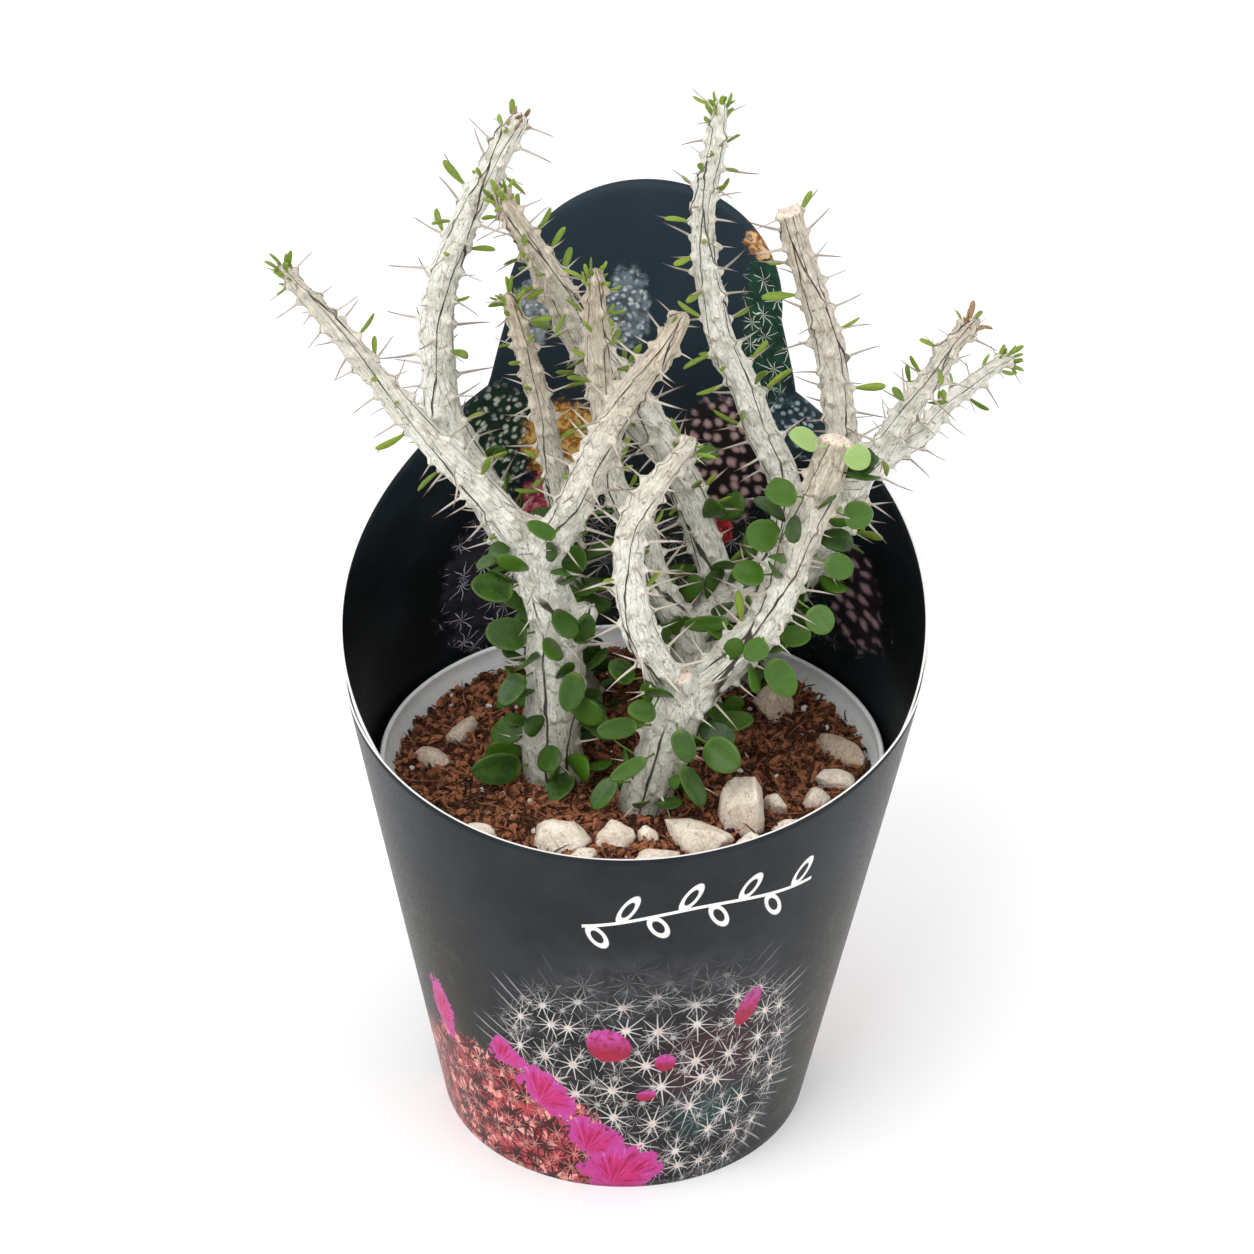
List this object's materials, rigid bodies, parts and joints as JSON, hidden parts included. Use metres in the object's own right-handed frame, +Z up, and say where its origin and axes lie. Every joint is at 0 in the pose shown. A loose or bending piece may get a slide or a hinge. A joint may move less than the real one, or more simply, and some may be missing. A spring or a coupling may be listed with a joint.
{
  "type": "potted succulent",
  "caption": "Potted spiny succulent: branching grey-barked stems with small oval leaves, rooted in mix and stones in a nursery pot, inside a tall-backed card sleeve.",
  "frame": {"origin": "centre of the nursery pot's underside, on the surface that it stands on", "axes": "+Z up along the pot's axis, -Y towards the low front of the sleeve, +X to the right seen from the front"},
  "size_m": [0.1599, 0.1478, 0.2452],
  "materials": {
    "pot_plastic": "satin",
    "potting_mix": "matte",
    "sleeve_card": "satin",
    "bark": "matte",
    "leaf": "satin",
    "limestone": "matte"
  },
  "bodies": {
    "root": {"leaf_front_left_01": "leaf", "leaf_front_left_02": "leaf", "leaf_front_left_03": "leaf", "leaf_front_left_04": "leaf", "leaf_front_left_05": "leaf", "leaf_front_left_06": "leaf", "leaf_front_left_07": "leaf", "leaf_front_left_08": "leaf", "leaf_front_left_09": "leaf", "leaf_front_left_10": "leaf", "leaf_front_right_01": "leaf", "leaf_front_right_02": "leaf", "leaf_front_right_03": "leaf", "leaf_front_right_04": "leaf", "leaf_front_right_05": "leaf", "leaf_front_right_06": "leaf", "leaf_front_right_07": "leaf", "leaf_front_right_08": "leaf", "leaf_front_right_09": "leaf", "leaf_front_right_10": "leaf", "leaf_leafy_shoot_01": "leaf", "leaf_leafy_shoot_02": "leaf", "leaf_leafy_shoot_03": "leaf", "leaf_leafy_shoot_04": "leaf", "leaf_leafy_shoot_05": "leaf", "leaf_leafy_shoot_06": "leaf", "leaf_leafy_shoot_07": "leaf", "leaf_leafy_shoot_08": "leaf", "leaf_leafy_shoot_09": "leaf", "leaf_leafy_shoot_10": "leaf", "leaf_leafy_shoot_11": "leaf", "leaf_leafy_shoot_12": "leaf", "nursery_pot": "pot_plastic", "potting_mix": "potting_mix", "sleeve_back_card": "sleeve_card", "sleeve_wrap": "sleeve_card", "stem_back_left": "bark", "stem_back_right": "bark", "stem_front_left": "bark", "stem_front_right": "bark", "stem_middle": "bark", "stone_01": "limestone", "stone_02": "limestone", "stone_03": "limestone", "stone_04": "limestone", "stone_05": "limestone", "stone_06": "limestone", "stone_07": "limestone", "stone_08": "limestone", "stone_09": "limestone", "stone_10": "limestone", "stone_11": "limestone", "stone_12": "limestone", "stone_13": "limestone", "stone_14": "limestone", "stone_15": "limestone", "stone_16": "limestone", "stone_17": "limestone"}
  },
  "joints": []
}
